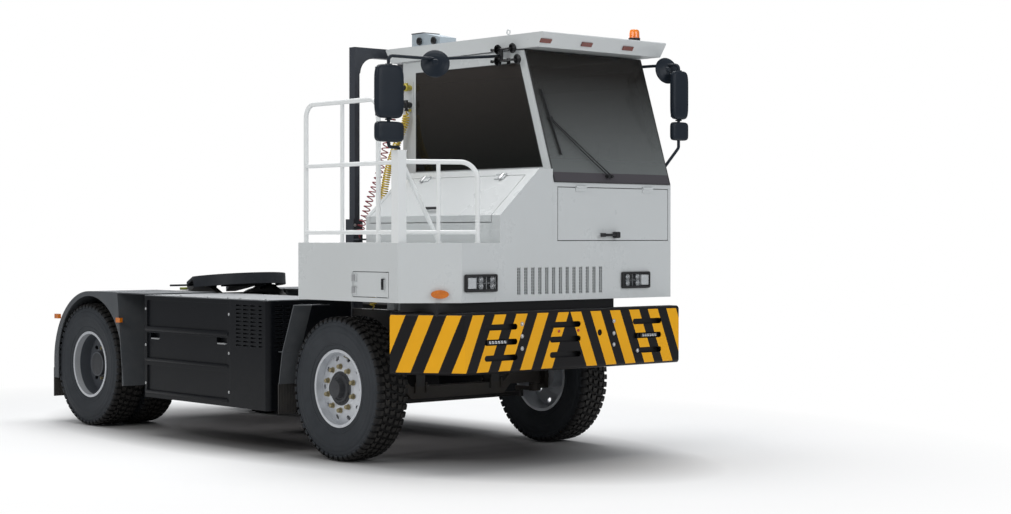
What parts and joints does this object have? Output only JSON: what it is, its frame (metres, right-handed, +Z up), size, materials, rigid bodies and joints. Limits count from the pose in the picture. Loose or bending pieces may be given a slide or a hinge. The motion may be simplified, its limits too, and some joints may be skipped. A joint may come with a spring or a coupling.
{
  "type": "terminal tractor",
  "caption": "Electric terminal tractor with a narrow side cab, guard-railed deck, side battery boxes, fifth wheel, striped bumper and twin rear wheels.",
  "frame": {"origin": "on the ground under the middle of the vehicle's length and width", "axes": "+X forward, +Y to the vehicle's left, +Z up"},
  "size_m": [5.54, 2.92, 3.372],
  "materials": {
    "white_paint": "gloss",
    "rail_white": "gloss",
    "chassis_black": "satin",
    "cast_grey": "matte",
    "box_black": "satin",
    "plate_grey": "matte",
    "guard_black": "matte",
    "flap_rubber": "matte",
    "hazard_stripes": "gloss",
    "floor_mat": "matte",
    "tinted_glass": "gloss",
    "dark_plastic": "matte",
    "seat_cloth": "matte",
    "slate_paint": "satin",
    "horn_black": "gloss",
    "bare_aluminium": "satin",
    "beacon_orange": "gloss",
    "lamp_clear": "gloss",
    "lamp_amber": "gloss",
    "lamp_red": "gloss",
    "greased_steel": "satin",
    "coupling_yellow": "gloss",
    "hose_red": "gloss",
    "hose_yellow": "gloss",
    "rim_silver": "satin",
    "tyre_rubber": "matte"
  },
  "bodies": {
    "chassis": {"frame_rails": "chassis_black", "cross_members": "chassis_black", "front_axle": "chassis_black", "rear_axle": "chassis_black", "leaf_springs": "chassis_black", "drive_motor": "cast_grey", "battery_boxes": "box_black", "side_cabinet": "box_black", "boarding_steps": "box_black", "top_plates": "plate_grey", "mudguards": "guard_black", "mudflaps": "flap_rubber", "bumper": "hazard_stripes", "platform": "white_paint", "console": "white_paint", "cab_side_right": "white_paint", "cab_side_left": "white_paint", "cab_rear_wall": "white_paint", "cab_front_wall": "white_paint", "cab_floor": "floor_mat", "cab_roof": "white_paint", "cab_glass": "tinted_glass", "door_tracks": "white_paint", "dashboard": "dark_plastic", "seat": "seat_cloth", "guard_rails": "rail_white", "gantry": "slate_paint", "mirrors": "dark_plastic", "horns": "horn_black", "roof_unit": "bare_aluminium", "beacon": "beacon_orange", "headlamps": "lamp_clear", "amber_lamps": "lamp_amber", "visor_lamps": "lamp_red", "wiper": "horn_black", "fifth_wheel_base": "chassis_black", "gladhands": "coupling_yellow", "red_hose": "hose_red", "yellow_hose": "hose_yellow"},
    "knuckle_right": {"knuckle_right": "chassis_black"},
    "knuckle_left": {"knuckle_left": "chassis_black"},
    "tie_rod": {"tie_rod": "chassis_black"},
    "front_wheel_right": {"front_rim_right": "rim_silver", "front_tyre_right": "tyre_rubber"},
    "front_wheel_left": {"front_rim_left": "rim_silver", "front_tyre_left": "tyre_rubber"},
    "rear_wheels_right": {"rear_rims_right": "rim_silver", "rear_tyres_right": "tyre_rubber"},
    "rear_wheels_left": {"rear_rims_left": "rim_silver", "rear_tyres_left": "tyre_rubber"},
    "fifth_wheel_plate": {"fifth_wheel_plate": "greased_steel"},
    "rear_door": {"rear_door": "white_paint", "rear_door_glass": "tinted_glass"},
    "console_hatch": {"console_hatch": "white_paint"},
    "front_lid": {"front_lid": "white_paint"},
    "service_door": {"service_door": "white_paint"}
  },
  "joints": [
    {"name": "steer_right", "type": "hinge", "parent": "chassis", "child": "knuckle_right", "pos_m": [1.515, -0.87, 0.55], "axis": [0, 0, 1], "range_deg": [-35, 35]},
    {"name": "steer_left", "type": "hinge", "parent": "chassis", "child": "knuckle_left", "pos_m": [1.515, 0.87, 0.55], "axis": [0, 0, 1], "range_deg": [-35, 35]},
    {"name": "tie_rod_swing", "type": "hinge", "parent": "knuckle_left", "child": "tie_rod", "pos_m": [1.325, 0.87, 0.395], "axis": [0, 0, 1], "range_deg": [-35, 35]},
    {"name": "spin_front_right", "type": "hinge", "parent": "knuckle_right", "child": "front_wheel_right", "pos_m": [1.515, -1.045, 0.55], "axis": [0, 1, 0], "continuous": true},
    {"name": "spin_front_left", "type": "hinge", "parent": "knuckle_left", "child": "front_wheel_left", "pos_m": [1.515, 1.045, 0.55], "axis": [0, 1, 0], "continuous": true},
    {"name": "spin_rear_right", "type": "hinge", "parent": "chassis", "child": "rear_wheels_right", "pos_m": [-2.185, -0.915, 0.55], "axis": [0, 1, 0], "continuous": true},
    {"name": "spin_rear_left", "type": "hinge", "parent": "chassis", "child": "rear_wheels_left", "pos_m": [-2.185, 0.915, 0.55], "axis": [0, 1, 0], "continuous": true},
    {"name": "fifth_wheel_tilt", "type": "hinge", "parent": "chassis", "child": "fifth_wheel_plate", "pos_m": [-1.625, 0, 1.262], "axis": [0, 1, 0], "range_deg": [-6, 16]},
    {"name": "rear_door_slide", "type": "slide", "parent": "chassis", "child": "rear_door", "axis": [0, 1, 0], "range_m": [0, 0.47]},
    {"name": "console_hatch_lift", "type": "hinge", "parent": "chassis", "child": "console_hatch", "pos_m": [1.845, -0.20601, 2.1789], "axis": [-1, 0, 0], "range_deg": [0, 70]},
    {"name": "front_lid_lift", "type": "hinge", "parent": "chassis", "child": "front_lid", "pos_m": [2.689, 0.64, 2.085], "axis": [0, -1, 0], "range_deg": [0, 80]},
    {"name": "service_door_swing", "type": "hinge", "parent": "chassis", "child": "service_door", "pos_m": [1.856, -1.284, 1.354], "axis": [0, 0, -1], "range_deg": [0, 110]}
  ],
  "couplings": [
    {"joint": "steer_left", "follows": "steer_right", "ratio": 1},
    {"joint": "tie_rod_swing", "follows": "steer_right", "ratio": -1}
  ]
}
